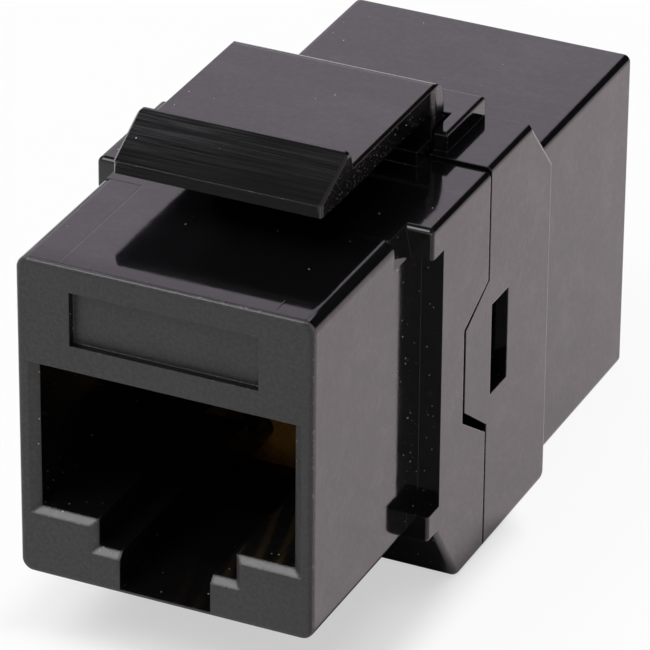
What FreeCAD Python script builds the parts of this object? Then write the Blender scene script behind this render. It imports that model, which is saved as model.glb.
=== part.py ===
"""Keystone coupler: two snap-fit shells round a circuit board, a jack at each end and a latch arm on top.

Millimetres. X is to the right seen from the front jack, Y runs from front to rear, Z is up.
The origin is under the middle of the coupler, on the plane that it stands on.
Depths are measured backwards from the front face, and heights from the plane that it stands on.
"""
import FreeCAD, Part
import math
import os

# How far a cut runs past a face, a joined form runs into its neighbour, and a cut overlaps the next cut
past = 1.0
bite = 0.5
lap = 0.1

# Overall length, and the seam between the shells, just ahead of the middle plane
length = 35.8
middle = length / 2
front_y = -middle
seam_ahead = 1.46
seam_gap = 0.16
seam = middle - seam_ahead
front_end = seam - seam_gap / 2
rear_start = seam + seam_gap / 2

# Jack openings: plug space, the step under it and the slot for the plug's lever
port_half = 6.25
port_height = 7.43
port_depth = 13.2
step_half = 3.4
step_drop = 1.37
slot_half = 2.25
slot_drop = 1.83
slot_web = 0.22
side_bevel = 0.45
lip_bevel = 0.32

# Front body, the part that fills the panel window
side_wall = 1.0
front_half = port_half + side_wall
front_bottom = 3.7
front_height = 16.0
front_top = front_bottom + front_height
front_round = 0.6
face_round = 0.26
corner_start = 8.3
corner_lean = 0.28
corner_height = 1.4

# Heights of the jack openings
slot_floor = front_bottom + slot_web
step_floor = slot_floor + slot_drop
port_floor = step_floor + step_drop
port_top = port_floor + port_height

# Blank label recess on the front face, between the opening and the top
label_half = 4.6
label_margin = 1.24
label_depth = 0.4

# Shoulder behind the panel, with an ear at each corner and the fixed hook below
shoulder_overhang = 1.08
shoulder_half = front_half + shoulder_overhang
shoulder_front = 10.05
shoulder_round = 0.3
ear_round = 0.17
ear_recess = 1.2
ear_drop = 0.12
lower_ear_height = 1.42
upper_ear_height = 1.5
hook_setback = 0.9
hook_run = 2.5
hook_round = 0.7

# Hollow between the shells
wall = 1.2
shoulder_wall = 1.23
hollow_half = shoulder_half - shoulder_wall
hollow_top = front_top - wall

# Circuit board on the middle plane
board_thick = 1.6
board_side_gap = 0.15
board_low_gap = 0.1
board_top_gap = 0.15
board_gap = 0.05
board_half = hollow_half - board_side_gap
board_front = middle - board_thick / 2
board_rear = middle + board_thick / 2
hollow_behind = 1.7
hollow_rear = board_rear + hollow_behind

# Contacts
contact_count = 8
contact_pitch = 1.02
contact_width = 0.36
contact_thick = 0.3
contact_rise = 0.4
contact_run = port_top + contact_rise
contact_bend = 0.55
contact_slope = 40.0
contact_tip_rise = 1.28
contact_front = 3.9
contact_room = 0.06
contact_turn = (port_depth + board_front) / 2
tail_reach = 0.45
tail_hole = 0.31
tail_room = 0.35
tail_relief = 0.45
rear_tail_drop = 1.35
rear_tail = contact_run - rear_tail_drop
contact_x = [(n - (contact_count - 1) / 2) * contact_pitch for n in range(contact_count)]

# Contact carriers: ribbed tongue over the contacts, block against the board, stakes low on the board
carrier_gap = 0.1
carrier_side_gap = 0.5
carrier_room = 0.2
carrier_roof_gap = 0.15
carrier_half = hollow_half - carrier_side_gap
carrier_drop = 0.12
carrier_low = port_floor - carrier_drop
tongue_over = 0.04
tongue_half = 5.3
tongue_start = 2.4
tongue_plate = 0.86
tongue_under = contact_run + contact_thick / 2 + tongue_over
tongue_top = tongue_under + tongue_plate
carrier_rise = 0.3
carrier_top = tongue_top + carrier_rise
front_pocket_gap = 0.3
rear_pocket_gap = 0.15
rib_start = 4.6
rib_gap = 0.12
rib_hang = 0.25
rib_root = 0.2
stake_x = 3.4
stake_drop = 0.4
stake_radius = 0.62
stake_length = 3.15
stake_leg_half = 0.45
stake_leg_thick = 1.1
stake_z = front_bottom - stake_drop

# Rear shell: shoulder with a chamfer behind, and the box round the rear jack
rear_step_up = 0.17
rear_top = front_top + rear_step_up
box_length = 12.05
box_step = 1.04
box_roof = 0.42
box_round = 0.36
box_half = shoulder_half - box_step
box_top = carrier_top + carrier_roof_gap + box_roof
shoulder_rear = length - box_length
chamfer_run = 2.55
heel_round = 0.5
left_bevel = 0.6
chamfer_start = shoulder_rear - chamfer_run

# Snap: side tongues of the rear shell in sockets of the front one, which has barbs in their windows
snap_thick = 0.7
snap_reach = 2.49
snap_tip = (4.8, 9.05)
snap_base = (2.95, 10.4)
snap_gap = 0.12
snap_back_gap = 0.03
socket_front_gap = 0.23
socket_low_gap = 0.45
window_setback = 0.41
window_length = 1.9
window_span = (4.3, 9.0)
barb_margin = (1.0, 0.4)
barb_gap = 0.05
barb_play = 0.1
barb_height = 0.44
barb_flat = 0.4
barb_end_gap = 0.3
barb_side_gap = 0.3
barb_root = 2.24
snap_front = seam - snap_reach
snap_inside = shoulder_half - snap_thick
window_start = seam + window_setback
window_end = window_start + window_length
window_low = front_bottom + window_span[0]
window_high = front_bottom + window_span[1]
barb_low = window_low + barb_margin[0]
barb_high = window_high - barb_margin[1]
barb_base = snap_inside - barb_gap

# Latch arm: plate with a ramped lip in front and a round root behind
arm_half = 5.15
arm_front_taper = 0.07
arm_root_taper = 0.02
arm_clear = 2.1
arm_thick = 1.18
lip_front = 5.22
lip_height = 0.63
lip_lean = 0.08
ridge_setback = 2.78
ridge_rise = 0.82
ridge_flat = 0.15
ridge_fall = 0.2
arm_overhang = 1.81
arm_rear_round = 1.1
arm_inner_round = 0.5
arm_bevel = 0.13
lip_corner = 0.3
ridge_corner = 0.3
bevel_over = 0.05
root_thick = 1.35
root_rise = 0.75
root_clearance = 0.03
arm_front_half = arm_half - arm_front_taper
arm_root_half = arm_half - arm_root_taper
arm_under = front_top + arm_clear
arm_top = arm_under + arm_thick
lip_top = arm_under + lip_height
ridge_depth = lip_front + ridge_setback
ridge_top = arm_top + ridge_rise
ridge_back = ridge_depth + ridge_flat
ridge_foot = ridge_back + ridge_fall
arm_rear = seam + arm_overhang
root_radius = root_thick / 2
root_depth = arm_rear - root_radius
root_front = root_depth - root_radius
root_z = front_top + root_rise

# Lug of the front shell under the arm's root, and the rear shell's raised block round it
lug_step = 0.02
lug_foot = 1.04
lug_back = 0.61
lug_gap = 0.12
lug_half = arm_root_half - lug_step
lug_start = seam - lug_foot
lug_end = arm_rear + lug_back
cheek_wall = 0.67
cheek_setback = 0.56
cheek_lap = 0.05
cheek_rise = 1.12
cheek_round = 0.18
cheek_half = lug_half + lug_gap + cheek_wall
cheek_top = front_top + cheek_rise

# Nearness of an edge to a plane when edges are picked for rounding
touch = 1e-4


def at(depth):
    """Y of a place given as its depth behind the front face."""
    return front_y + depth


def box(x0, x1, depth0, depth1, z0, z1):
    return Part.makeBox(x1 - x0, depth1 - depth0, z1 - z0, FreeCAD.Vector(x0, at(depth0), z0))


def plate(corners, along):
    """Solid of a closed outline of points, drawn out along a vector."""
    return Part.Face(Part.makePolygon(corners + corners[:1])).extrude(along)


def side_plate(points, x0, x1):
    """Plate of a closed outline of (depth, height) points, from x0 to x1."""
    corners = [FreeCAD.Vector(x0, at(depth), z) for depth, z in points]
    return plate(corners, FreeCAD.Vector(x1 - x0, 0, 0))


def flat_plate(points, z0, z1):
    """Plate of a closed outline of (x, depth) points, from z0 to z1."""
    corners = [FreeCAD.Vector(x, at(depth), z0) for x, depth in points]
    return plate(corners, FreeCAD.Vector(0, 0, z1 - z0))


def end_plate(points, depth0, depth1):
    """Plate of a closed outline of (x, height) points, from one depth to another."""
    corners = [FreeCAD.Vector(x, at(depth0), z) for x, z in points]
    return plate(corners, FreeCAD.Vector(0, depth1 - depth0, 0))


def rod(radius, depth0, depth1, x, z):
    start = FreeCAD.Vector(x, at(depth0), z)
    return Part.makeCylinder(radius, depth1 - depth0, start, FreeCAD.Vector(0, 1, 0))


def both_sides(shape):
    return shape.fuse(shape.mirror(FreeCAD.Vector(0, 0, 0), FreeCAD.Vector(1, 0, 0)))


def turned_end_for_end(shape):
    return shape.mirror(FreeCAD.Vector(0, 0, 0), FreeCAD.Vector(0, 1, 0))


def direction(edge):
    return (edge.lastVertex().Point - edge.firstVertex().Point).normalize()


def rounded(shape, radius, wanted):
    """Rounds the edges whose middle and direction pass the test."""
    edges = [edge for edge in shape.Edges if wanted(edge.CenterOfMass, direction(edge))]
    return shape.makeFillet(radius, edges)


def rounded_body(half, depth0, depth1, z0, z1, long_round, end_depth):
    """Box with its four long edges rounded, and then the edges round one end."""
    body = box(-half, half, depth0, depth1, z0, z1)
    body = rounded(body, long_round, lambda mid, way: abs(way.y) > 0.9)
    return rounded(body, face_round, lambda mid, way: abs(mid.y - at(end_depth)) < touch)


def port_outline(depth, side, lip):
    """Outline of a jack opening, grown by the bevels of its sides and lips."""
    wide, step, slot = port_half + side, step_half + lip, slot_half
    low, mid = port_floor - lip, step_floor - lip
    right = [(wide, port_top), (wide, low), (step, low), (step, mid), (slot, mid), (slot, slot_floor)]
    points = right + [(-x, z) for x, z in reversed(right)]
    corners = [FreeCAD.Vector(x, at(depth), z) for x, z in points]
    return Part.makePolygon(corners + corners[:1])


def port_cut(pocket_gap):
    """Space of a jack in the front end: the opening, its bevelled mouth and the pocket for the tongue."""
    inside = Part.Face(port_outline(-bite, 0, 0)).extrude(FreeCAD.Vector(0, port_depth + bite, 0))
    rims = [port_outline(-touch, side_bevel, lip_bevel), port_outline(lip_bevel, 0, 0)]
    mouth = Part.makeLoft(rims, True, True)
    pocket_half = tongue_half + carrier_room
    pocket = box(-pocket_half, pocket_half, tongue_start - carrier_room, port_depth + lap,
                 port_top - lap, tongue_top + pocket_gap)
    return inside.fuse([mouth, pocket])


def make_front_shoulder():
    """Shoulder with the slanted hook below, ears left by a recess in each side, and sockets for the snap."""
    ear_bottom = front_bottom - ear_drop
    hook_start = shoulder_front + hook_setback
    outline = [(shoulder_front, front_top), (front_end, front_top), (front_end, 0),
               (hook_start + hook_run, 0), (hook_start, ear_bottom), (shoulder_front, ear_bottom)]
    shoulder = side_plate(outline, -shoulder_half, shoulder_half)
    end_y = at(front_end) - touch
    shoulder = rounded(shoulder, hook_round,
                       lambda mid, way: abs(way.x) > 0.9 and mid.z < touch and mid.y < end_y)
    shoulder = rounded(shoulder, ear_round, lambda mid, way: abs(way.z) > 0.99 and mid.y < end_y)
    shoulder = rounded(shoulder, shoulder_round,
                       lambda mid, way: abs(way.y) > 0.2 and abs(way.x) < 0.1 and mid.y < end_y)
    recess = box(front_half, shoulder_half + past, shoulder_front - past, shoulder_front + ear_recess,
                 ear_bottom + lower_ear_height, front_top - upper_ear_height)
    front = snap_front - socket_front_gap
    low_gap, high_gap = front_bottom - socket_low_gap, front_bottom + snap_gap
    socket_outline = [(front, snap_tip[0] + low_gap), (front, snap_tip[1] + high_gap),
                      (seam, snap_base[1] + high_gap), (seam + past, snap_base[1] + high_gap),
                      (seam + past, snap_base[0] + low_gap), (seam, snap_base[0] + low_gap)]
    socket = side_plate(socket_outline, snap_inside - snap_back_gap, shoulder_half + past)
    return shoulder.cut([both_sides(recess), both_sides(socket)])


def make_barb():
    """Strip of the front shell's right side wall that runs into the rear shell, with the barb on it."""
    strip = box(hollow_half, barb_base, seam - barb_root, window_end - barb_end_gap, barb_low, barb_high)
    start = window_start + barb_play
    end = window_end - barb_end_gap
    crest = barb_base + barb_height
    outline = [(hollow_half, start), (crest, start), (crest, start + barb_flat), (barb_base, end),
               (hollow_half, end)]
    return strip.fuse(flat_plate(outline, barb_low, barb_high))


def make_front_housing():
    """Front shell: body, whose rounded upper edges end in sharp corners before the shoulder, shoulder,
    jack opening, barbs, and the lug that seats the arm's root.
    """
    body = rounded_body(front_half, 0, shoulder_front + ear_recess + bite, front_bottom, front_top,
                        front_round, 0)
    corner_edge, corner_low = front_half - corner_lean, front_top - corner_height
    corner = end_plate([(port_half, front_top), (corner_edge, front_top), (front_half, corner_low),
                        (port_half, corner_low)], corner_start, shoulder_front + bite)
    lean = end_plate([(corner_edge, front_top), (corner_edge, front_top + past),
                      (front_half + past, front_top + past), (front_half + past, corner_low),
                      (front_half, corner_low)], corner_start, shoulder_front)
    hollow = box(-hollow_half, hollow_half, port_depth, seam + past, wall, hollow_top)
    label = box(-label_half, label_half, -past, label_depth,
                port_top + label_margin, front_top - label_margin)
    lug = box(-lug_half, lug_half, lug_start, lug_end, hollow_top + lap, root_z)
    seat = Part.makeCylinder(root_radius + root_clearance, 2 * shoulder_half,
                             FreeCAD.Vector(-shoulder_half, at(root_depth), root_z), FreeCAD.Vector(1, 0, 0))
    body = body.fuse(both_sides(corner)).cut(both_sides(lean))
    shell = body.fuse(make_front_shoulder()).cut([port_cut(front_pocket_gap), hollow, label])
    return shell.fuse([lug, both_sides(make_barb())]).cut(seat).removeSplitter()


def arm_point(depth, z):
    return FreeCAD.Vector(-arm_half, at(depth), z)


def arm_arc(depth, z, radius, first, last):
    """Arc of the arm's outline round a centre, between angles in degrees."""
    angles = [math.radians(angle) for angle in (first, (first + last) / 2, last)]
    spots = [arm_point(depth + radius * math.cos(angle), z + radius * math.sin(angle)) for angle in angles]
    return Part.Arc(*spots).toShape()


def edge_bevel(start, end, face_normal):
    """Prism that bevels an edge between a right-hand side face and a face with the given normal."""
    side = FreeCAD.Vector(1, 0, 0)
    run = (end - start).normalize() * bite
    reach = arm_bevel + bevel_over
    spots = [(side + face_normal) * bevel_over, side * bevel_over - face_normal * reach,
             face_normal * bevel_over - side * reach]
    return plate([start - run + spot for spot in spots], end - start + run * 2)


def make_latch_arm():
    """Latch arm: one side outline drawn across, narrowed to its plan, with bevelled upper edges."""
    toe = (lip_front + lip_lean, arm_under)
    runs = [
        [toe, (lip_front, lip_top), (ridge_depth, ridge_top), (ridge_back, ridge_top), (ridge_foot, arm_top),
         (arm_rear - arm_rear_round, arm_top)],
        [(arm_rear, arm_top - arm_rear_round), (arm_rear, root_z)],
        [(root_front, root_z), (root_front, arm_under - arm_inner_round)],
        [(root_front - arm_inner_round, arm_under), toe],
    ]
    edges = [Part.makeLine(arm_point(*a), arm_point(*b)) for run in runs for a, b in zip(run, run[1:])]
    edges.append(arm_arc(arm_rear - arm_rear_round, arm_top - arm_rear_round, arm_rear_round, 90, 0))
    edges.append(arm_arc(root_depth, root_z, root_radius, 0, -180))
    edges.append(arm_arc(root_front - arm_inner_round, arm_under - arm_inner_round, arm_inner_round, 0, 90))
    arm = Part.Face(Part.Wire(Part.__sortEdges__(edges))).extrude(FreeCAD.Vector(2 * arm_half, 0, 0))
    right = [(arm_front_half, lip_front), (arm_half, ridge_foot), (arm_root_half, arm_rear + bite)]
    plan = flat_plate(right + [(-x, depth) for x, depth in reversed(right)], 0, ridge_top + past)
    plan = rounded(plan, lip_corner, lambda mid, way: abs(way.z) > 0.9 and mid.y < at(lip_front) + touch)
    across = box(-arm_half, arm_half, lip_front - past, arm_rear + past, 0, ridge_top)
    across = rounded(across, ridge_corner, lambda mid, way: abs(way.y) > 0.9 and mid.z > ridge_top - touch)
    arm = arm.common(plan).common(across)
    rise = math.atan2(ridge_top - lip_top, ridge_depth - lip_front)
    ramp_bevel = edge_bevel(FreeCAD.Vector(arm_front_half, at(lip_front), lip_top),
                            FreeCAD.Vector(arm_half, at(ridge_depth), ridge_top),
                            FreeCAD.Vector(0, -math.sin(rise), math.cos(rise)))
    top_bevel = edge_bevel(FreeCAD.Vector(arm_half, at(ridge_foot + bite + bevel_over), arm_top),
                           FreeCAD.Vector(arm_root_half, at(arm_rear), arm_top), FreeCAD.Vector(0, 0, 1))
    return arm.cut([both_sides(ramp_bevel), both_sides(top_bevel)])


def make_rear_housing():
    """Rear shell: shoulder, box, jack opening, raised block with a notch, and snap tongues with windows."""
    shoulder = side_plate([(rear_start, rear_top), (chamfer_start, rear_top), (shoulder_rear, box_top),
                           (shoulder_rear, 0), (rear_start, 0)], -shoulder_half, shoulder_half)
    start_y = at(rear_start) + touch
    shoulder = rounded(shoulder, heel_round,
                       lambda mid, way: abs(way.x) > 0.9 and mid.z < touch and mid.y > start_y)
    shoulder = rounded(shoulder, shoulder_round, lambda mid, way: abs(way.x) < 0.1 and mid.y > start_y)
    bevel_low, bevel_in = rear_top - left_bevel, left_bevel - shoulder_half
    bevel = end_plate([(-shoulder_half, bevel_low), (-shoulder_half - past, bevel_low),
                       (-shoulder_half - past, rear_top + past), (bevel_in, rear_top + past),
                       (bevel_in, rear_top)], rear_start - lap, shoulder_rear + lap)
    shoulder = shoulder.cut(bevel)
    rear_box = rounded_body(box_half, shoulder_rear - past, length, 0, box_top, box_round, length)
    block = box(-cheek_half, cheek_half, seam + cheek_setback, chamfer_start + cheek_lap,
                rear_top - bite, cheek_top)
    block = rounded(block, cheek_round, lambda mid, way: mid.z > cheek_top - touch)
    tip_low, tip_high = front_bottom + snap_tip[0], front_bottom + snap_tip[1]
    base_low, base_high = front_bottom + snap_base[0], front_bottom + snap_base[1]
    tongue = side_plate([(snap_front, tip_low), (snap_front, tip_high), (seam, base_high),
                         (seam + bite, base_high), (seam + bite, base_low), (seam, base_low)],
                        snap_inside, shoulder_half)
    notch_half = lug_half + lug_gap
    notch = box(-notch_half, notch_half, seam - past, lug_end + lug_gap, hollow_top - lap, cheek_top + past)
    hollow = box(-hollow_half, hollow_half, seam - past, hollow_rear, wall, hollow_top)
    carrier_space = box(-carrier_half - carrier_room, carrier_half + carrier_room, hollow_rear - lap,
                        length - port_depth, wall, carrier_top + carrier_roof_gap)
    barb_space = box(hollow_half - lap, snap_inside, seam - past, window_end,
                     barb_low - barb_side_gap, barb_high + barb_side_gap)
    window = box(hollow_half - lap, shoulder_half + past, window_start, window_end, window_low, window_high)
    port = turned_end_for_end(port_cut(rear_pocket_gap))
    shell = shoulder.fuse([rear_box, block, both_sides(tongue)])
    spaces = [port, hollow, carrier_space, notch, both_sides(barb_space), both_sides(window)]
    return shell.cut(spaces).removeSplitter()


def make_circuit_board():
    """Board with a row of plated holes for each jack's contact tails."""
    board = box(-board_half, board_half, board_front, board_rear,
                wall + board_low_gap, hollow_top - board_top_gap)
    holes = [rod(tail_hole, board_front - past, board_rear + past, x, z)
             for x in contact_x for z in (contact_run, rear_tail)]
    return board.cut(holes)


def make_carrier(own_tail, other_tail):
    """Contact carrier of the front jack, slotted for its contacts and relieved over the other jack's tails."""
    back = board_front - board_gap
    block = box(-carrier_half, carrier_half, port_depth + carrier_gap, back, carrier_low, carrier_top)
    tongue = box(-tongue_half, tongue_half, tongue_start, port_depth + past, tongue_under, tongue_top)
    rib_half = (contact_pitch - contact_width) / 2 - rib_gap
    rib_x = [(n - contact_count / 2) * contact_pitch for n in range(contact_count + 1)]
    ribs = [box(x - rib_half, x + rib_half, rib_start, port_depth + past, contact_run - rib_hang,
                tongue_under + rib_root) for x in rib_x]
    stakes = []
    for x in (-stake_x, stake_x):
        stakes.append(rod(stake_radius, back - stake_length, back, x, stake_z))
        stakes.append(box(x - stake_leg_half, x + stake_leg_half, back - stake_leg_thick, back,
                          stake_z, carrier_low + bite))
    half = contact_width / 2 + contact_room
    thick = contact_thick / 2 + contact_room
    relief_half = contact_x[-1] + tail_relief
    cuts = [box(-relief_half, relief_half, back - tail_reach - tail_room, back + past,
                other_tail - tail_relief, other_tail + tail_relief)]
    for x in contact_x:
        cuts.append(box(x - half, x + half, port_depth, contact_turn + thick,
                        contact_run - thick, contact_run + thick))
        cuts.append(box(x - half, x + half, contact_turn - thick, contact_turn + thick,
                        own_tail - thick, contact_run + thick))
        cuts.append(box(x - half, x + half, contact_turn - thick, back + past,
                        own_tail - thick, own_tail + thick))
    return block.fuse([tongue] + ribs + stakes).cut(cuts).removeSplitter()


def make_contact(x, own_tail):
    """Contact of the front jack: tail in the board, run under the tongue, bend, and a sloping free end."""
    half = contact_thick / 2
    left = x - contact_width / 2
    tail_end = board_rear + tail_reach
    slope = math.radians(contact_slope)
    bend_z = contact_run - contact_bend
    tip_z = port_floor + contact_tip_rise
    reach = (bend_z - contact_bend * math.cos(slope) - tip_z) / math.sin(slope)
    free_end = FreeCAD.Vector(0, reach * math.cos(slope), -reach * math.sin(slope))
    top, turned = 90, 270 - contact_slope

    def spot(radius, angle):
        a = math.radians(angle)
        return FreeCAD.Vector(left, at(contact_front + radius * math.cos(a)), bend_z + radius * math.sin(a))

    def bend(radius):
        return Part.Arc(spot(radius, top), spot(radius, (top + turned) / 2), spot(radius, turned)).toShape()

    upper = [(contact_front, contact_run + half)]
    lower = [(contact_front, contact_run - half)]
    if own_tail < contact_run:
        upper += [(contact_turn + half, contact_run + half), (contact_turn + half, own_tail + half)]
        lower += [(contact_turn - half, contact_run - half), (contact_turn - half, own_tail - half)]
    upper.append((tail_end, own_tail + half))
    lower.append((tail_end, own_tail - half))
    chain = [FreeCAD.Vector(left, at(depth), z) for depth, z in upper + lower[::-1]]
    outer, inner = contact_bend + half, contact_bend - half
    end = [spot(outer, turned), spot(outer, turned) + free_end,
           spot(inner, turned) + free_end, spot(inner, turned)]
    edges = [Part.makeLine(a, b) for points in (chain, end) for a, b in zip(points, points[1:])]
    outline = Part.Wire(Part.__sortEdges__(edges + [bend(outer), bend(inner)]))
    return Part.Face(outline).extrude(FreeCAD.Vector(contact_width, 0, 0))


pieces = {
    "front_housing": make_front_housing(),
    "latch_arm": make_latch_arm(),
    "rear_housing": make_rear_housing(),
    "circuit_board": make_circuit_board(),
    "front_contact_carrier": make_carrier(contact_run, rear_tail),
    "rear_contact_carrier": turned_end_for_end(make_carrier(rear_tail, contact_run)),
}
for number, x in enumerate(contact_x, 1):
    pieces["front_contact_%d" % number] = make_contact(x, contact_run)
    pieces["rear_contact_%d" % number] = turned_end_for_end(make_contact(x, rear_tail))

os.makedirs("parts", exist_ok=True)
for name, shape in pieces.items():
    shape.exportStep("parts/" + name + ".step")
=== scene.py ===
"""Looks of the keystone coupler: black moulded shells, gilt contacts and an amber board on a pale floor."""
import math

import bmesh
import bpy
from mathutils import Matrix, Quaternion, Vector


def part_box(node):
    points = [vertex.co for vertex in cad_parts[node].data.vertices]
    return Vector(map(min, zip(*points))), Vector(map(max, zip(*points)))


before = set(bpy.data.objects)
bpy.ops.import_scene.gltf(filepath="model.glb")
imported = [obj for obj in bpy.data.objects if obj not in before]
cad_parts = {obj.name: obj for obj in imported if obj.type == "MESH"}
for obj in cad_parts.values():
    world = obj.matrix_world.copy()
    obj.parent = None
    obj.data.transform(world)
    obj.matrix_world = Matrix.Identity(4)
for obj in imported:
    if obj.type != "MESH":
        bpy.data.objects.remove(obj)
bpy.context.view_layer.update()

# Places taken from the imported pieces
MM = 0.001
FRONT_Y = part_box("front_housing")[0].y
REAR_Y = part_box("rear_housing")[1].y
arm_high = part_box("latch_arm")[1]
ARM_REAR = arm_high.y
ARM_TOP = arm_high.z

# Places round a jack: half widths from the middle, and levels above the floor
JACK_HALF = 6.4 * MM
MOUTH_HALF = 6.6 * MM
JACK_TOP = 15.0 * MM
SLOT_FLOOR = 3.85 * MM
LIPS_TOP = 7.6 * MM
LIP_EDGES = (7.12 * MM, 5.75 * MM)

# Places on the front body: out from the middle, and back from the front face
RECESS_INSIDE = 6.9 * MM
RECESS_OUTSIDE = 8.2 * MM
RECESS_START = 8.2 * MM
RECESS_END = 13.0 * MM
INSERT_HALF = 5.2 * MM
INSERT_LENGTH = 8.35 * MM
HAIRLINE = 0.05 * MM

# Colours of the black mouldings and of what lies on them
BLACK = (0.0036, 0.0034, 0.0038, 1.0)
BLACK_WORN = (0.026, 0.024, 0.026, 1.0)
MATTE_BLACK = (0.013, 0.0128, 0.013, 1.0)
MATTE_PALE = (0.024, 0.0235, 0.0235, 1.0)
# Paler colour of worn rims and ramp streaks, also a painted highlight there
PALE_WEAR_AND_HIGHLIGHT = (0.070, 0.066, 0.072, 1.0)
NICK_COLOUR = (0.15, 0.14, 0.145, 1.0)
DUST_COLOUR = (0.50, 0.48, 0.43, 1.0)
CARRIER_BLACK = (0.006, 0.006, 0.0065, 1.0)
CARRIER_PALE = (0.010, 0.010, 0.0105, 1.0)

# Colours of the contacts, the board and the floor
GILT = (0.92, 0.62, 0.22, 1.0)
GILT_DULL = (0.72, 0.44, 0.14, 1.0)
AMBER = (0.62, 0.32, 0.065, 1.0)
AMBER_DEEP = (0.40, 0.18, 0.030, 1.0)
AMBER_FIBRE = (0.74, 0.42, 0.10, 1.0)
PAPER = (0.9, 0.9, 0.9, 1.0)
# Paper colour that reflections see under the coupler: painted shade
PAPER_PAINTED_SHADE = (0.16, 0.16, 0.17, 1.0)
GLOW = (1.0, 1.0, 1.0, 1.0)
GLOW_WARM = (1.08, 0.96, 1.0, 1.0)

# Roughness of the finishes, from their glossiest spots to their dullest
SHELL_GLOSS = (0.06, 0.105)
SHELL_SAND = (0.42, 0.50)
EDGE_ROUGHNESS = 0.36
LIP_ROUGHNESS = 0.17
LATCH_GLOSS = (0.12, 0.17)
DRAWN_ROUGHNESS = (0.22, 0.31)
TRIMMED_ROUGHNESS = 0.24
CARRIER_ROUGHNESS = (0.28, 0.36)
CONTACT_ROUGHNESS = (0.34, 0.48)
BOARD_ROUGHNESS = (0.34, 0.48)
DUST_ROUGHNESS = 0.7
SMEAR_ROUGHNESS = 0.2
PLASTIC_IOR = 1.5

# Camera, fitted to the view of the coupler from the front, right and above
CAMERA_EYE = Vector((98.067, -212.939, 137.600)) * MM
CAMERA_AIM = Vector((0.861, -3.026, 10.831)) * MM
CAMERA_ROLL = math.radians(0.476)
CAMERA_LENS = 317.7


# Small helpers for shader trees


def add(tree, kind, inputs=None, **settings):
    """Adds a shader node, sets its properties, and sets or links its inputs."""
    made = tree.nodes.new(kind)
    for key, value in settings.items():
        setattr(made, key, value)
    for key, value in (inputs or {}).items():
        feed(tree, made.inputs[key], value)
    return made


def feed(tree, socket, value):
    """Links a socket to an output, or sets its own value."""
    if isinstance(value, bpy.types.NodeSocket):
        tree.links.new(value, socket)
    else:
        socket.default_value = value


def calc(tree, operation, first, second=0.0, clamp=False):
    made = add(tree, "ShaderNodeMath", {0: first, 1: second}, operation=operation, use_clamp=clamp)
    return made.outputs["Value"]


def product(tree, first, *others):
    """Values multiplied together, one after the other."""
    for other in others:
        first = calc(tree, "MULTIPLY", first, other)
    return first


def rest_of(tree, share):
    """What a share leaves of one."""
    return calc(tree, "SUBTRACT", 1.0, share)


def size_of(tree, value):
    return calc(tree, "ABSOLUTE", value)


def less(tree, value, limit):
    return calc(tree, "LESS_THAN", value, limit)


def more(tree, value, limit):
    return calc(tree, "GREATER_THAN", value, limit)


def ramp(tree, value, start, end, low=0.0, high=1.0):
    """Smooth step of a value from one level to another, between start and end."""
    made = add(tree, "ShaderNodeMapRange", {"Value": value, "From Min": start, "From Max": end,
                                            "To Min": low, "To Max": high}, interpolation_type="SMOOTHSTEP")
    return made.outputs["Result"]


def pulse(tree, value, centre, half):
    """One at a centre, falling to nothing at half a width from it."""
    return ramp(tree, size_of(tree, calc(tree, "SUBTRACT", value, centre)), half, 0.0)


def blend_colour(tree, share, first, second):
    made = add(tree, "ShaderNodeMix", {0: share, 6: first, 7: second}, data_type="RGBA")
    return made.outputs[2]


def blend_value(tree, share, first, second):
    made = add(tree, "ShaderNodeMix", {0: share, 2: first, 3: second}, data_type="FLOAT")
    return made.outputs[0]


def noise(tree, vector, scale, detail=2.0, roughness=0.5):
    made = add(tree, "ShaderNodeTexNoise", {"Vector": vector, "Scale": scale, "Detail": detail,
                                            "Roughness": roughness})
    return made.outputs[0]


def parts_of(tree, vector):
    return add(tree, "ShaderNodeSeparateXYZ", {"Vector": vector}).outputs


def stretched(tree, vector, scale):
    made = add(tree, "ShaderNodeMapping", {"Vector": vector, "Scale": scale})
    return made.outputs["Vector"]


def bumped(tree, height, normal):
    """Normal of a relief whose height is in millimetres."""
    made = add(tree, "ShaderNodeBump", {"Height": height, "Normal": normal, "Strength": 1.0, "Distance": MM})
    return made.outputs["Normal"]


def new_group(name, inputs, outputs):
    """Shader node group with named sockets, and its two end nodes."""
    tree = bpy.data.node_groups.new(name, "ShaderNodeTree")
    for socket, kind, value in inputs:
        made = tree.interface.new_socket(socket, in_out="INPUT", socket_type="NodeSocket" + kind)
        if value is not None:
            made.default_value = value
    for socket, kind in outputs:
        tree.interface.new_socket(socket, in_out="OUTPUT", socket_type="NodeSocket" + kind)
    start = tree.nodes.new("NodeGroupInput")
    end = tree.nodes.new("NodeGroupOutput")
    return tree, start.outputs, end.inputs


def use_group(tree, group, inputs):
    made = tree.nodes.new("ShaderNodeGroup")
    made.node_tree = group
    for key, value in inputs.items():
        feed(tree, made.inputs[key], value)
    return made.outputs


# Effects that several finishes share. Heights are in millimetres


def make_skin_group():
    """Moulded skin: slow waves of the gloss, and fine grain from the mould's surface."""
    tree, given, result = new_group(
        "moulded_skin",
        [("Vector", "Vector", None), ("Wave Height", "Float", 0.002), ("Grain Scale", "Float", 7000.0),
         ("Grain Height", "Float", 0.002)],
        [("Height", "Float"), ("Mottle", "Float")])
    waves = noise(tree, given["Vector"], 620.0, 3.0)
    grain = noise(tree, given["Vector"], given["Grain Scale"], 3.0, 0.6)
    wave_height = product(tree, waves, given["Wave Height"])
    grain_height = product(tree, grain, given["Grain Height"])
    feed(tree, result["Height"], calc(tree, "ADD", wave_height, grain_height))
    feed(tree, result["Mottle"], ramp(tree, noise(tree, given["Vector"], 260.0, 4.0, 0.6), 0.3, 0.7))
    return tree


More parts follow.
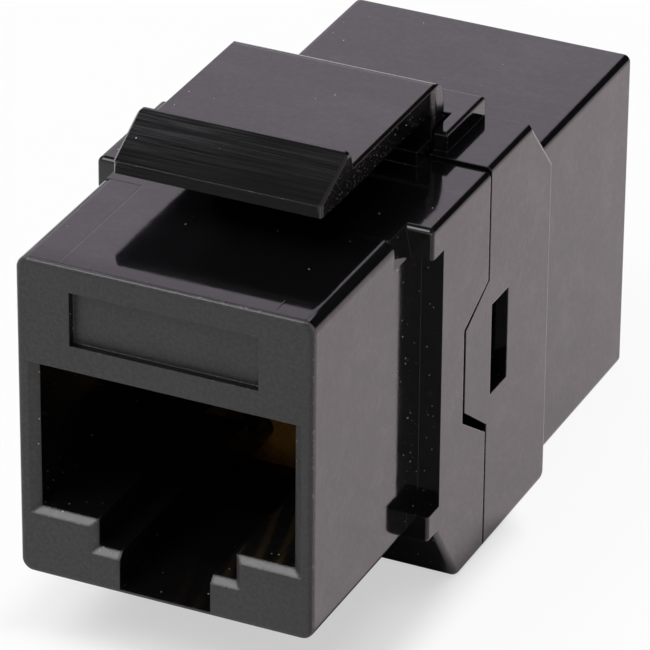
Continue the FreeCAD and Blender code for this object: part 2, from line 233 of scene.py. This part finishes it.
def make_dust_group():
    """Specks of dust, one in some of the cells of a random pattern."""
    tree, given, result = new_group(
        "dust_specks",
        [("Vector", "Vector", None), ("Scale", "Float", 700.0), ("Share", "Float", 0.2),
         ("Size", "Float", 0.05)],
        [("Mask", "Float")])
    cells = add(tree, "ShaderNodeTexVoronoi", {"Vector": given["Vector"], "Scale": given["Scale"]})
    chance = add(tree, "ShaderNodeSeparateColor", {"Color": cells.outputs["Color"]}).outputs
    kept = less(tree, chance["Red"], given["Share"])
    size = product(tree, calc(tree, "ADD", chance["Green"], 0.35), given["Size"])
    away = calc(tree, "DIVIDE", cells.outputs["Distance"], size)
    near = calc(tree, "SUBTRACT", 1.0, away, clamp=True)
    feed(tree, result["Mask"], product(tree, kept, ramp(tree, near, 0.0, 0.5)))
    return tree


def make_edge_group():
    """Softened edges: the normal rounded over a small radius, and a mask of where it turns."""
    tree, given, result = new_group(
        "softened_edges", [("Radius", "Float", 0.06 * MM)], [("Normal", "Vector"), ("Edge", "Float")])
    rounded = add(tree, "ShaderNodeBevel", {"Radius": given["Radius"]}, samples=4).outputs["Normal"]
    facing = add(tree, "ShaderNodeNewGeometry").outputs["Normal"]
    turn = add(tree, "ShaderNodeVectorMath", {0: rounded, 1: facing}, operation="DOT_PRODUCT")
    feed(tree, result["Normal"], rounded)
    feed(tree, result["Edge"], ramp(tree, turn.outputs["Value"], 0.99, 0.8))
    return tree


def make_streak_group():
    """Fine drag marks along the width of a piece."""
    tree, given, result = new_group(
        "drag_marks", [("Vector", "Vector", None)], [("Height", "Float"), ("Mask", "Float")])
    fine = noise(tree, stretched(tree, given["Vector"], (330.0, 26000.0, 26000.0)), 1.0)
    wide = noise(tree, stretched(tree, given["Vector"], (170.0, 9000.0, 9000.0)), 1.0)
    feed(tree, result["Height"], calc(tree, "ADD", fine, product(tree, wide, 2.0)))
    feed(tree, result["Mask"], ramp(tree, calc(tree, "ADD", fine, wide), 0.75, 1.35))
    return tree


def make_nick_group():
    """Nicks: breaks a mask of edges up into small worn spots."""
    tree, given, result = new_group(
        "edge_nicks", [("Vector", "Vector", None), ("Where", "Float", 0.0), ("Share", "Float", 0.5)],
        [("Mask", "Float")])
    coarse = noise(tree, given["Vector"], 1500.0)
    fine = noise(tree, given["Vector"], 7000.0, 2.0, 0.6)
    mixed = calc(tree, "ADD", product(tree, coarse, 0.5), product(tree, fine, 0.5))
    start = calc(tree, "SUBTRACT", 0.72, product(tree, given["Share"], 0.3))
    spots = ramp(tree, calc(tree, "SUBTRACT", mixed, start), 0.0, 0.07)
    feed(tree, result["Mask"], product(tree, spots, given["Where"]))
    return tree


SKIN = make_skin_group()
DUST = make_dust_group()
EDGES = make_edge_group()
STREAKS = make_streak_group()
NICKS = make_nick_group()


# Finishes


def start_material(name):
    """Material with an empty principled shader, and the outputs of its coordinates."""
    material = bpy.data.materials.new(name)
    material.use_nodes = True
    tree = material.node_tree
    tree.nodes.clear()
    shader = add(tree, "ShaderNodeBsdfPrincipled")
    add(tree, "ShaderNodeOutputMaterial", {"Surface": shader.outputs["BSDF"]})
    place = add(tree, "ShaderNodeTexCoord").outputs
    return material, tree, shader.inputs, place


def use_skin(tree, place, wave_height, grain_scale, grain_height):
    return use_group(tree, SKIN, {"Vector": place["Object"], "Wave Height": wave_height,
                                  "Grain Scale": grain_scale, "Grain Height": grain_height})


def use_dust(tree, place, scale, share, size):
    specks = {"Vector": place["Object"], "Scale": scale, "Share": share, "Size": size}
    return use_group(tree, DUST, specks)["Mask"]


def smears(tree, place):
    """Thin film left by handling: slow smears and a fine haze."""
    cloud = noise(tree, stretched(tree, place["Object"], (150.0, 420.0, 420.0)), 1.0, 4.0, 0.6)
    fine = noise(tree, place["Object"], 3400.0, 3.0, 0.65)
    smear = product(tree, ramp(tree, cloud, 0.46, 0.70), 0.09)
    haze = product(tree, ramp(tree, fine, 0.42, 0.68), 0.10)
    return calc(tree, "ADD", smear, haze)


def finish_plastic(tree, shader, place, colour, roughness, height, dust_share, nick_share, more_edges=None,
                   edge_radius=0.06 * MM, lint=None, polish=None):
    """Wires colour, roughness and relief of a black moulding to its shader, with dust, nicks and smears."""
    edge = use_group(tree, EDGES, {"Radius": edge_radius})
    where = edge["Edge"]
    if more_edges is not None:
        where = calc(tree, "MAXIMUM", where, more_edges)
    nicks = use_group(tree, NICKS, {"Vector": place["Object"], "Where": where, "Share": nick_share})["Mask"]
    dust = use_dust(tree, place, 1500.0, dust_share, 0.055)
    if lint is not None:
        dust = calc(tree, "MAXIMUM", dust, lint)
    rubbed = blend_colour(tree, product(tree, edge["Edge"], 0.4), colour, BLACK_WORN)
    nicked = blend_colour(tree, nicks, rubbed, NICK_COLOUR)
    feed(tree, shader["Base Color"], blend_colour(tree, dust, nicked, DUST_COLOUR))
    dull = calc(tree, "MAXIMUM", dust, nicks)
    feed(tree, shader["Roughness"], blend_value(tree, dull, roughness, DUST_ROUGHNESS))
    feed(tree, shader["Normal"], bumped(tree, height, edge["Normal"]))
    shader["IOR"].default_value = PLASTIC_IOR
    if polish is not None:
        feed(tree, shader["Coat Weight"], product(tree, smears(tree, place), polish))
        shader["Coat Roughness"].default_value = SMEAR_ROUGHNESS


def jack_masks(tree, place, end_y, inward):
    """Masks of the places round the jack in one end face."""
    spot = parts_of(tree, place["Object"])
    facing = parts_of(tree, place["Normal"])
    side = size_of(tree, spot["X"])
    behind = product(tree, calc(tree, "SUBTRACT", spot["Y"], end_y), inward)
    outward = product(tree, facing["Y"], -inward)
    slanted = ramp(tree, outward, 0.5, 0.6)
    level = product(tree, less(tree, spot["Z"], JACK_TOP), more(tree, spot["Z"], SLOT_FLOOR))
    in_jack = less(tree, side, JACK_HALF)
    in_mouth = less(tree, side, MOUTH_HALF)

    # The spark-textured end face, with the bevelled sides of the jack's mouth
    flat = ramp(tree, outward, 0.74, 0.81)
    sideways = ramp(tree, size_of(tree, facing["X"]), 0.5, 0.6)
    sandy = calc(tree, "MAXIMUM", flat, product(tree, slanted, sideways, in_jack))
    face = product(tree, ramp(tree, behind, 0.62 * MM, 0.5 * MM), sandy)

    # The rounded edge round the end face
    edge = product(tree, ramp(tree, behind, 0.32 * MM, 0.25 * MM), pulse(tree, outward, 0.45, 0.42))

    # The inside of the jack, behind its mouth
    inside = product(tree, in_jack, level, ramp(tree, behind, 0.5 * MM, 0.9 * MM))

    # The bevelled lips under the mouth, and the band along their edges, where the moulding is well rounded
    upward = ramp(tree, facing["Z"], 0.5, 0.6)
    near_front = ramp(tree, behind, 0.6 * MM, 0.5 * MM)
    lips = product(tree, slanted, upward, less(tree, spot["Z"], LIPS_TOP), near_front)
    bands = []
    for lip_edge in LIP_EDGES:
        away = size_of(tree, calc(tree, "SUBTRACT", spot["Z"], lip_edge - 0.2 * MM))
        bands.append(less(tree, away, 0.5 * MM))
    either = calc(tree, "MAXIMUM", bands[0], bands[1])
    lip_band = product(tree, either, in_mouth, less(tree, behind, 0.6 * MM))

    # The dusty part of the mouth, with the lips
    deep = product(tree, ramp(tree, behind, 0.02 * MM, 0.06 * MM), ramp(tree, behind, 2.8 * MM, 0.8 * MM))
    mouth = product(tree, in_mouth, level, deep)
    return {"face": face, "edge": edge, "inside": inside, "lips": lips, "lip_band": lip_band, "mouth": mouth}


def rolled_front(tree, place):
    """Fall of the front body's top toward the front edge."""
    spot = parts_of(tree, place["Object"])
    upward = ramp(tree, parts_of(tree, place["Normal"])["Z"], 0.9, 0.98)
    behind = calc(tree, "DIVIDE", calc(tree, "SUBTRACT", spot["Y"], FRONT_Y), MM)
    reach = calc(tree, "MAXIMUM", calc(tree, "SUBTRACT", 1.7, behind), 0.0)
    return product(tree, reach, reach, upward, 0.022)


def insert_lines(tree, place):
    """Hairline marks of the mould's inserts on the top of the front body."""
    spot = parts_of(tree, place["Object"])
    upward = ramp(tree, parts_of(tree, place["Normal"])["Z"], 0.85, 0.95)
    side = size_of(tree, spot["X"])
    line_end = FRONT_Y + INSERT_LENGTH
    faint = ramp(tree, spot["Y"], FRONT_Y + 3.0 * MM, FRONT_Y + 0.6 * MM, 0.06, 0.7)
    depth = blend_value(tree, less(tree, spot["X"], 0.0), faint, 1.0)
    along = product(tree, pulse(tree, side, INSERT_HALF, HAIRLINE), less(tree, spot["Y"], line_end), depth)
    across = product(tree, pulse(tree, spot["Y"], line_end, HAIRLINE), more(tree, side, INSERT_HALF))
    return product(tree, calc(tree, "MAXIMUM", along, across), upward)


def side_recess(tree, place):
    """Masks of the upright recesses at the ears: with the outer sides beside them, and without."""
    spot = parts_of(tree, place["Object"])
    side = size_of(tree, spot["X"])
    along = calc(tree, "SUBTRACT", spot["Y"], FRONT_Y)
    recess = product(tree, more(tree, side, RECESS_INSIDE), more(tree, along, RECESS_START),
                     less(tree, along, RECESS_END))
    return recess, product(tree, recess, less(tree, side, RECESS_OUTSIDE))


def make_shell_finish(name, end_y, inward, is_front):
    """Black shell: satin gloss all round, with a fine sandy texture on its end face."""
    material, tree, shader, place = start_material(name)
    masks = jack_masks(tree, place, end_y, inward)
    matte, edges, lips, inside = masks["face"], masks["edge"], masks["lips"], masks["inside"]

    # Relief
    grain_height = blend_value(tree, lips, blend_value(tree, matte, 0.0007, 0.030), 0.012)
    skin = use_skin(tree, place, 0.0036, 5800.0, grain_height)
    height = skin["Height"]
    if is_front:
        height = calc(tree, "SUBTRACT", height, product(tree, insert_lines(tree, place), 0.008))
        height = calc(tree, "SUBTRACT", height, rolled_front(tree, place))

    # Roughness
    gloss = blend_value(tree, skin["Mottle"], *SHELL_GLOSS)
    sand = blend_value(tree, skin["Mottle"], *SHELL_SAND)
    roughness = blend_value(tree, matte, gloss, sand)
    roughness = blend_value(tree, edges, roughness, EDGE_ROUGHNESS)
    roughness = blend_value(tree, lips, roughness, LIP_ROUGHNESS)

    # Colour: sandy speckle on the end face, and a paler rim round it that is partly wear and partly painted
    # highlight
    speckle = ramp(tree, noise(tree, place["Object"], 5200.0, 3.0, 0.65), 0.35, 0.65)
    sandy = blend_colour(tree, speckle, MATTE_BLACK, MATTE_PALE)
    colour = blend_colour(tree, matte, BLACK, sandy)
    colour = blend_colour(tree, edges, colour, PALE_WEAR_AND_HIGHLIGHT)

    # Softness of the edges, crisp in the jack and in the recesses, and fine dust
    radius = blend_value(tree, inside, 0.09 * MM, 0.012 * MM)
    dusty = masks["mouth"]
    if is_front:
        recess, hollow = side_recess(tree, place)
        radius = blend_value(tree, recess, radius, 0.03 * MM)
        dusty = calc(tree, "MAXIMUM", dusty, hollow)
    radius = blend_value(tree, masks["lip_band"], radius, 0.24 * MM)
    lint = product(tree, use_dust(tree, place, 2800.0, 0.7, 0.11), dusty)

    dust_share = blend_value(tree, inside, 0.36, 0.70)
    nick_share = blend_value(tree, edges, 0.5, 0.60)
    finish_plastic(tree, shader, place, colour, roughness, height, dust_share, nick_share, edges, radius,
                   lint, rest_of(tree, matte))
    return material


def make_latch_finish():
    """Black latch arm: satin top, drag marks on the ramp and roughly trimmed sides."""
    material, tree, shader, place = start_material("black_latch")
    spot = parts_of(tree, place["Object"])
    facing = parts_of(tree, place["Normal"])
    on_ramp = ramp(tree, product(tree, facing["Y"], -1.0), 0.25, 0.4)
    on_side = ramp(tree, size_of(tree, facing["X"]), 0.7, 0.95)
    ahead = ramp(tree, spot["Y"], ARM_REAR - 4.2 * MM, ARM_REAR - 6.4 * MM)
    trimmed = product(tree, on_side, ahead)

    # Relief, which also tilts the sides as a slight undercut would
    streaks = use_group(tree, STREAKS, {"Vector": place["Object"]})
    skin = use_skin(tree, place, 0.003, 5600.0, blend_value(tree, trimmed, 0.0008, 0.008))
    height = blend_value(tree, on_ramp, skin["Height"], product(tree, streaks["Height"], 0.0015))
    below_top = calc(tree, "DIVIDE", calc(tree, "SUBTRACT", spot["Z"], ARM_TOP), MM)
    off_root = ramp(tree, spot["Y"], ARM_REAR - 0.8 * MM, ARM_REAR - 1.9 * MM)
    undercut = product(tree, below_top, on_side, off_root, 0.16)
    height = calc(tree, "ADD", height, undercut)

    # Roughness
    gloss = blend_value(tree, skin["Mottle"], *LATCH_GLOSS)
    fading = ramp(tree, spot["Z"], ARM_TOP - 1.45 * MM, ARM_TOP - 0.3 * MM, 0.66, 1.0)
    drawn = product(tree, blend_value(tree, streaks["Mask"], *DRAWN_ROUGHNESS), fading)
    roughness = blend_value(tree, on_ramp, gloss, drawn)
    roughness = blend_value(tree, trimmed, roughness, TRIMMED_ROUGHNESS)

    # Colour, paler along the drag marks on the ramp: wear, with a painted highlight that makes them paler
    # towards the left and the top
    leftward = ramp(tree, spot["X"], 3.0 * MM, -5.0 * MM, 0.15, 0.6)
    upward = ramp(tree, spot["Z"], ARM_TOP - 1.3 * MM, ARM_TOP - 0.1 * MM, 0.35, 1.0)
    ramp_wear_and_highlight = product(tree, streaks["Mask"], on_ramp, leftward, upward)
    colour = blend_colour(tree, ramp_wear_and_highlight, BLACK, PALE_WEAR_AND_HIGHLIGHT)

    # Torn spots and fine dust on the sides
    torn = ramp(tree, noise(tree, place["Object"], 7600.0, 3.0, 0.65), 0.60, 0.68)
    specks = use_dust(tree, place, 4200.0, 0.9, 0.13)
    lint = calc(tree, "MAXIMUM", product(tree, specks, on_side), product(tree, torn, 0.20, trimmed))
    polish = rest_of(tree, calc(tree, "MAXIMUM", on_ramp, on_side))
    finish_plastic(tree, shader, place, colour, roughness, height, 0.30, 0.5, lint=lint, polish=polish)
    return material


def make_carrier_finish():
    """Plain black moulding inside the jacks, a little duller than the shells."""
    material, tree, shader, place = start_material("black_carrier")
    skin = use_skin(tree, place, 0.002, 5200.0, 0.003)
    roughness = blend_value(tree, skin["Mottle"], *CARRIER_ROUGHNESS)
    colour = blend_colour(tree, skin["Mottle"], CARRIER_BLACK, CARRIER_PALE)
    finish_plastic(tree, shader, place, colour, roughness, skin["Height"], 0.16, 0.3)
    return material


def make_contact_finish():
    """Gilt spring wire, with faint draw lines and duller patches."""
    material, tree, shader, place = start_material("gilt_contact")
    skin = use_skin(tree, place, 0.001, 6000.0, 0.001)
    drawn = noise(tree, stretched(tree, place["Object"], (9000.0, 300.0, 9000.0)), 1.0)
    feed(tree, shader["Base Color"], blend_colour(tree, skin["Mottle"], GILT, GILT_DULL))
    feed(tree, shader["Roughness"], ramp(tree, drawn, 0.25, 0.75, *CONTACT_ROUGHNESS))
    edge = use_group(tree, EDGES, {"Radius": 0.14 * MM})
    height = calc(tree, "ADD", skin["Height"], product(tree, drawn, 0.001))
    feed(tree, shader["Normal"], bumped(tree, height, edge["Normal"]))
    shader["Metallic"].default_value = 1.0
    return material


def make_board_finish():
    """Amber glass laminate, with its weave and cloudy resin."""
    material, tree, shader, place = start_material("amber_board")
    spot = parts_of(tree, place["Object"])
    warp_pitch, weft_pitch = 0.42 * MM, 0.48 * MM
    warp = calc(tree, "SINE", product(tree, spot["X"], 2 * math.pi / warp_pitch))
    weft = calc(tree, "SINE", product(tree, spot["Z"], 2 * math.pi / weft_pitch))
    weave = product(tree, warp, weft)
    cloud = noise(tree, place["Object"], 700.0, 4.0, 0.6)
    amber = blend_colour(tree, ramp(tree, cloud, 0.3, 0.7), AMBER, AMBER_DEEP)
    fibre = product(tree, ramp(tree, weave, -1.0, 1.0), 0.22)
    feed(tree, shader["Base Color"], blend_colour(tree, fibre, amber, AMBER_FIBRE))
    feed(tree, shader["Roughness"], ramp(tree, cloud, 0.3, 0.7, *BOARD_ROUGHNESS))
    edge = use_group(tree, EDGES, {"Radius": 0.05 * MM})
    feed(tree, shader["Normal"], bumped(tree, product(tree, weave, 0.004), edge["Normal"]))
    shader["IOR"].default_value = PLASTIC_IOR
    return material


named_finishes = {
    "front_housing": make_shell_finish("black_front_shell", FRONT_Y, 1.0, True),
    "rear_housing": make_shell_finish("black_rear_shell", REAR_Y, -1.0, False),
    "latch_arm": make_latch_finish(),
    "circuit_board": make_board_finish(),
}
carrier_finish = make_carrier_finish()
contact_finish = make_contact_finish()

for node_name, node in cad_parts.items():
    other_finish = carrier_finish if node_name.endswith("carrier") else contact_finish
    node.data.materials.clear()
    node.data.materials.append(named_finishes.get(node_name, other_finish))


# Pale round floor, which rises into a wall far off


def make_stage_finish():
    """White paper that stays white to the eye and, away from the coupler, in reflections; it keeps a soft
    shadow, and reflections see painted shade under and beside the coupler.
    """
    material = bpy.data.materials.new("white_paper")
    material.use_nodes = True
    tree = material.node_tree
    tree.nodes.clear()
    rays = add(tree, "ShaderNodeLightPath").outputs
    place = add(tree, "ShaderNodeTexCoord").outputs["Object"]
    spot = parts_of(tree, place)
    side = size_of(tree, spot["X"])
    mirrored = calc(tree, "ADD", rays["Is Glossy Ray"], rays["Is Transmission Ray"])

    # Clear of the patch under the coupler, which is narrower at the rear
    half = ramp(tree, spot["Y"], 0.0, 5.0 * MM, 7.4 * MM, 4.6 * MM)
    beside = calc(tree, "SUBTRACT", side, half)
    beyond = calc(tree, "SUBTRACT", size_of(tree, spot["Y"]), 16.0 * MM)
    clear = ramp(tree, calc(tree, "MAXIMUM", beside, beyond), 0.0, 2.8 * MM)

    # Share of the glow that the camera sees
    seen = product(tree, rays["Is Camera Ray"], blend_value(tree, clear, 0.55, 0.92))

    # Share that reflections see of the floor, lowered as painted shade under the coupler, at the front right
    # corner and close to the sides
    low = ramp(tree, spot["Z"], 0.12, 0.04)
    right_of = ramp(tree, spot["X"], 7.5 * MM, 10.0 * MM)
    in_front = ramp(tree, spot["Y"], -10.0 * MM, -15.0 * MM)
    pale = product(tree, low, rest_of(tree, product(tree, right_of, in_front, 0.55)))
    near = ramp(tree, side, 8.0 * MM, 24.0 * MM, 0.84, 1.0)
    uneven = ramp(tree, noise(tree, place, 300.0, 4.0, 0.6), 0.3, 0.7, 0.90, 1.0)
    on_floor = product(tree, mirrored, pale, clear, near, uneven)

    # Share that they see of the wall, except behind the coupler
    squares = calc(tree, "ADD", product(tree, spot["X"], spot["X"]), product(tree, spot["Y"], spot["Y"]))
    reach = calc(tree, "SQRT", squares)
    aside = ramp(tree, calc(tree, "DIVIDE", spot["Y"], reach), 0.80, 0.62)
    fading = ramp(tree, spot["Z"], 4.0, 0.2, 0.25, 0.80)
    on_wall = product(tree, mirrored, rest_of(tree, low), fading, aside)
    share = calc(tree, "ADD", calc(tree, "ADD", seen, on_floor), on_wall, clamp=True)

    # Paper, painted darker as shade where reflections see it without glow, and a glow that is warmer on the
    # right
    painted_shade = product(tree, mirrored, rest_of(tree, product(tree, pale, clear)))
    sheet = blend_colour(tree, painted_shade, PAPER, PAPER_PAINTED_SHADE)
    warm = product(tree, ramp(tree, spot["X"], 2.0 * MM, 9.0 * MM), mirrored)
    tint = blend_colour(tree, warm, GLOW, GLOW_WARM)
    paper = add(tree, "ShaderNodeBsdfDiffuse", {"Color": sheet}).outputs["BSDF"]
    glow = add(tree, "ShaderNodeEmission", {"Color": tint, "Strength": 1.0}).outputs["Emission"]
    mixed = add(tree, "ShaderNodeMixShader", {0: share, 1: paper, 2: glow})
    add(tree, "ShaderNodeOutputMaterial", {"Surface": mixed.outputs["Shader"]})
    return material


def make_stage():
    """Round floor with a wall that curves up at its rim, spun from one line."""
    floor_radius, sweep, wall_height, steps = 3.0, 1.0, 4.0, 8
    under = -0.01 * MM
    points = [Vector((0.0, 0.0, under)), Vector((floor_radius, 0.0, under))]
    for step in range(1, steps + 1):
        angle = math.radians(90 * step / steps)
        rise = under + sweep * (1 - math.cos(angle))
        points.append(Vector((floor_radius + sweep * math.sin(angle), 0.0, rise)))
    points.append(Vector((floor_radius + sweep, 0.0, wall_height)))
    mesh = bmesh.new()
    spots = [mesh.verts.new(point) for point in points]
    lines = [mesh.edges.new(pair) for pair in zip(spots, spots[1:])]
    bmesh.ops.spin(mesh, geom=spots + lines, cent=(0, 0, 0), axis=(0, 0, 1), dvec=(0, 0, 0),
                   angle=2 * math.pi, steps=64, use_merge=True)
    bmesh.ops.remove_doubles(mesh, verts=mesh.verts, dist=1e-6)
    bmesh.ops.recalc_face_normals(mesh, faces=mesh.faces)
    data = bpy.data.meshes.new("floor")
    mesh.to_mesh(data)
    mesh.free()
    for face in data.polygons:
        face.use_smooth = True
    floor = bpy.data.objects.new("floor", data)
    bpy.context.scene.collection.objects.link(floor)
    data.materials.append(make_stage_finish())


make_stage()


# Studio light: a soft key high on the front left, a panel behind on the left, a wide and weak one in front
# on the right, and an overhead one that mirrors in nothing


WHITE = (1.0, 1.0, 1.0)
COOL_VIOLET = (0.96, 0.87, 1.0)
ROOM_STRENGTH = 0.12


def make_panel(name, direction, distance, width, height, radiance, colour):
    """Soft panel that faces the coupler from a direction, at a given brightness of its surface."""
    light = bpy.data.lights.new(name, "AREA")
    light.shape = "RECTANGLE"
    light.size = width
    light.size_y = height
    light.energy = radiance * width * height * math.pi
    light.color = colour
    panel = bpy.data.objects.new(name, light)
    bpy.context.scene.collection.objects.link(panel)
    aim = Vector((0.0, 0.0, 12.0)) * MM
    toward = Vector(direction).normalized()
    panel.location = aim + toward * distance
    panel.rotation_mode = "QUATERNION"
    panel.rotation_quaternion = toward.to_track_quat("Z", "Y")
    panel.visible_camera = False
    return panel


make_panel("key_panel", (-0.37, -0.50, 0.78), 0.9, 0.42, 0.42, 4.6, WHITE)
make_panel("rear_panel", (-0.45, 0.75, 0.48), 1.0, 0.70, 0.7, 1.10, COOL_VIOLET)
make_panel("front_panel", (0.48, -0.76, 0.44), 1.0, 0.90, 0.45, 0.75, WHITE)
overhead = make_panel("overhead_panel", (-0.1, -0.25, 0.96), 1.1, 1.2, 1.2, 1.9, WHITE)
overhead.visible_glossy = False

world = bpy.data.worlds.new("dim_room")
world.use_nodes = True
bpy.context.scene.world = world
background = world.node_tree.nodes["Background"].inputs
background["Color"].default_value = (*WHITE, 1.0)
background["Strength"].default_value = ROOM_STRENGTH


# Camera


def make_camera():
    data = bpy.data.cameras.new("camera")
    data.lens = CAMERA_LENS
    data.sensor_width = 36.0
    data.clip_start = 0.01
    data.clip_end = 50.0
    camera = bpy.data.objects.new("camera", data)
    bpy.context.scene.collection.objects.link(camera)
    camera.location = CAMERA_EYE
    camera.rotation_mode = "QUATERNION"
    level = (CAMERA_AIM - CAMERA_EYE).to_track_quat("-Z", "Y")
    camera.rotation_quaternion = level @ Quaternion((0.0, 0.0, 1.0), CAMERA_ROLL)
    bpy.context.scene.camera = camera


make_camera()
bpy.context.scene.view_settings.view_transform = "Standard"
